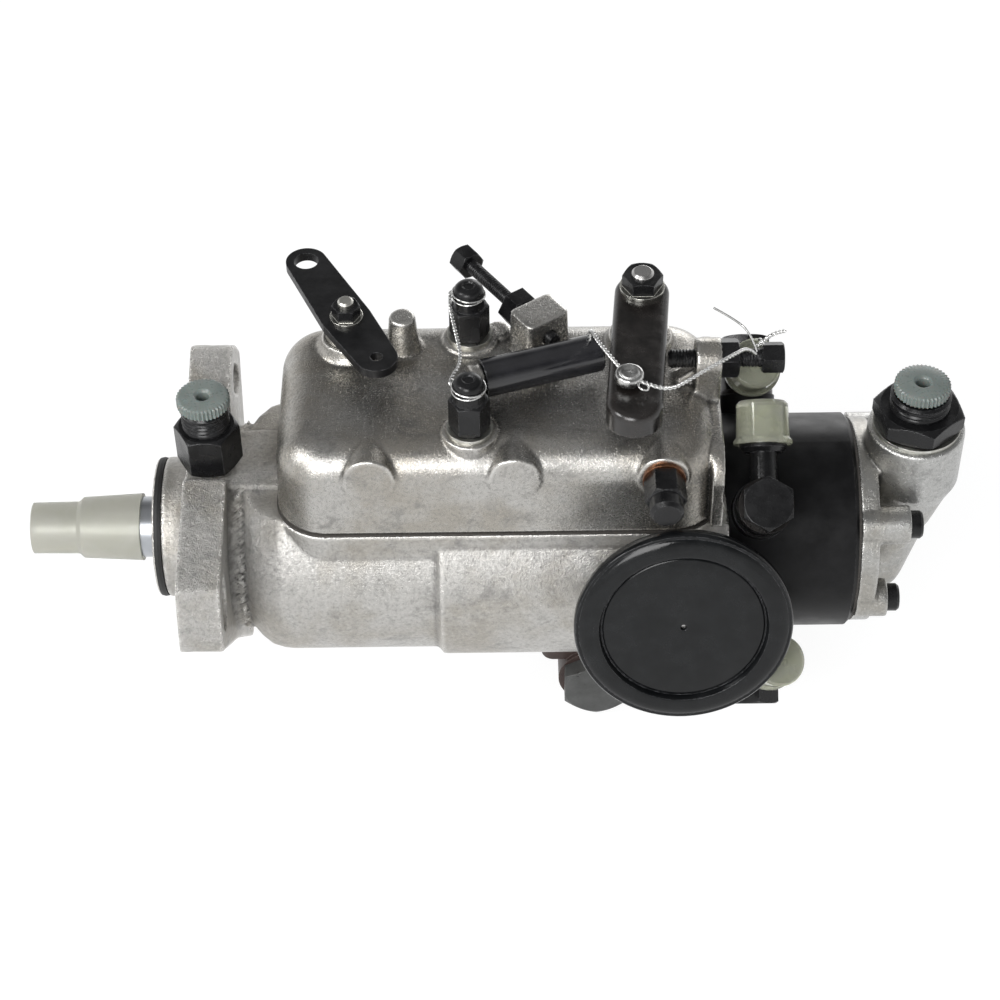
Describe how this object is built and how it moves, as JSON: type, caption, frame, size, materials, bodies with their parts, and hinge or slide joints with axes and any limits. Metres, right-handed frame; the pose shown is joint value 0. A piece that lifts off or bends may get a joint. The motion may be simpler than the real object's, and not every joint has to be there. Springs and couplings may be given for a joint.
{
  "type": "diesel injection pump",
  "caption": "Distributor-type mechanically governed diesel injection pump with slotted mounting flange, tapered drive shaft, governor cover levers and radial delivery outlets.",
  "frame": {"origin": "on the drive shaft's axis, inside the spigot, 4.8 mm in front of the flange's mounting face", "axes": "+X along the shaft from the drive end to the fuel inlet, +Z square to the governor cover, -Y towards the side with the round capsule"},
  "size_m": [0.3017, 0.126, 0.1596],
  "materials": {
    "cast_aluminium": "as cast, with brighter worn edges and machined faces",
    "black_steel": "satin black finish on steel",
    "brown_casting": "brown-grey satin casting",
    "grey_plug": "grey satin steel",
    "turned_steel": "turned and ground steel",
    "bronze": "plain bronze",
    "lead": "pressed lead, dull silver",
    "bright_wire": "bright twisted wire",
    "rubber": "black rubber",
    "gasket_paper": "dark gasket paper",
    "clear_cap": "soft milky plastic with a green-yellow tint",
    "grey_cap": "soft grey-green plastic"
  },
  "bodies": {
    "pump": {"adjuster_locknuts": "black_steel", "adjuster_screws": "black_steel", "advance_fastenings": "black_steel", "advance_housing": "brown_casting", "advance_plugs": "grey_plug", "backleak_union": "black_steel", "banjo_bolts": "black_steel", "capsule_base": "black_steel", "capsule_cover": "black_steel", "capsule_diaphragm": "turned_steel", "control_bracket": "turned_steel", "cover_nuts": "black_steel", "cover_studs": "turned_steel", "delivery_banjos": "black_steel", "delivery_caps": "clear_cap", "end_plate": "cast_aluminium", "end_plate_screws": "black_steel", "gaskets": "gasket_paper", "governor_cover": "cast_aluminium", "governor_spring": "turned_steel", "hydraulic_head": "black_steel", "inlet_union": "black_steel", "lead_seal": "lead", "o_rings": "rubber", "pump_housing": "cast_aluminium", "seal_sleeve": "black_steel", "seal_wires": "bright_wire", "sealing_washers": "black_steel", "shaft_bush": "bronze", "shaft_seals": "rubber", "transfer_liner": "turned_steel", "union_plugs": "grey_cap", "vent_screw": "black_steel"},
    "shaft": {"drive_shaft": "turned_steel", "shaft_key": "turned_steel", "shaft_cap": "clear_cap", "weight_carrier": "turned_steel", "distributor_rotor": "turned_steel", "pump_plungers": "turned_steel", "rollers_and_shoes": "turned_steel", "transfer_rotor": "turned_steel", "transfer_blades": "turned_steel"},
    "weight_1": {"governor_weight_1": "turned_steel"},
    "weight_2": {"governor_weight_2": "turned_steel"},
    "weight_3": {"governor_weight_3": "turned_steel"},
    "weight_4": {"governor_weight_4": "turned_steel"},
    "sleeve": {"thrust_sleeve": "turned_steel"},
    "arm": {"governor_arm": "turned_steel"},
    "link": {"metering_link": "turned_steel"},
    "valve": {"metering_valve": "turned_steel"},
    "cam": {"cam_ring": "turned_steel", "cam_screw": "turned_steel"},
    "piston": {"advance_piston": "turned_steel"},
    "regulator": {"regulating_piston": "turned_steel"},
    "throttle": {"throttle_lever": "black_steel", "throttle_shaft": "turned_steel", "throttle_lever_nut": "black_steel"},
    "stop": {"stop_lever": "black_steel", "stop_shaft": "turned_steel", "stop_lever_nut": "black_steel"}
  },
  "joints": [
    {"name": "shaft_spin", "type": "hinge", "parent": "pump", "child": "shaft", "pos_m": [0, 0, 0], "axis": [1, 0, 0], "continuous": true},
    {"name": "governor_travel", "type": "slide", "parent": "shaft", "child": "sleeve", "axis": [1, 0, 0], "range_m": [0, 0.0036], "deforming": ["governor_spring"]},
    {"name": "weight_1_pivot", "type": "hinge", "parent": "shaft", "child": "weight_1", "pos_m": [0.057, 0, 0.021], "axis": [0, -1, 0], "range_deg": [0, 23.5]},
    {"name": "weight_2_pivot", "type": "hinge", "parent": "shaft", "child": "weight_2", "pos_m": [0.057, -0.021, 0], "axis": [0, 0, -1], "range_deg": [0, 23.5]},
    {"name": "weight_3_pivot", "type": "hinge", "parent": "shaft", "child": "weight_3", "pos_m": [0.057, 0, -0.021], "axis": [0, 1, 0], "range_deg": [0, 23.5]},
    {"name": "weight_4_pivot", "type": "hinge", "parent": "shaft", "child": "weight_4", "pos_m": [0.057, 0.021, 0], "axis": [0, 0, 1], "range_deg": [0, 23.5]},
    {"name": "arm_pivot", "type": "hinge", "parent": "pump", "child": "arm", "pos_m": [0.0905, 0, 0.024], "axis": [0, -1, 0], "range_deg": [0, 9.2], "deforming": ["governor_spring"]},
    {"name": "link_travel", "type": "slide", "parent": "pump", "child": "link", "axis": [1, 0, 0], "range_m": [-0.0021, 0]},
    {"name": "metering_turn", "type": "hinge", "parent": "pump", "child": "valve", "pos_m": [0.16, 0, 0], "axis": [0, 0, 1], "range_deg": [0, 16.5]},
    {"name": "advance_travel", "type": "slide", "parent": "pump", "child": "piston", "axis": [0, 1, 0], "range_m": [0, 0.008]},
    {"name": "cam_advance", "type": "hinge", "parent": "pump", "child": "cam", "pos_m": [0, 0, 0], "axis": [1, 0, 0], "range_deg": [0, 8.4]},
    {"name": "regulator_travel", "type": "slide", "parent": "pump", "child": "regulator", "axis": [0, 0, 1], "range_m": [0, 0.004]},
    {"name": "throttle_turn", "type": "hinge", "parent": "pump", "child": "throttle", "pos_m": [0.15, 0.019, 0], "axis": [0, 0, 1], "range_deg": [-8, 24], "deforming": ["governor_spring"]},
    {"name": "stop_turn", "type": "hinge", "parent": "pump", "child": "stop", "pos_m": [0.0575, 0.019, 0], "axis": [0, 0, 1], "range_deg": [-35, 12]}
  ],
  "couplings": [
    {"joint": "weight_1_pivot", "follows": "governor_travel", "rad_per_m": 111},
    {"joint": "weight_2_pivot", "follows": "governor_travel", "rad_per_m": 111},
    {"joint": "weight_3_pivot", "follows": "governor_travel", "rad_per_m": 111},
    {"joint": "weight_4_pivot", "follows": "governor_travel", "rad_per_m": 111},
    {"joint": "arm_pivot", "follows": "governor_travel", "rad_per_m": 43.1},
    {"joint": "link_travel", "follows": "governor_travel", "ratio": -0.537},
    {"joint": "metering_turn", "follows": "governor_travel", "rad_per_m": 76.7},
    {"joint": "cam_advance", "follows": "advance_travel", "rad_per_m": 17.857}
  ]
}
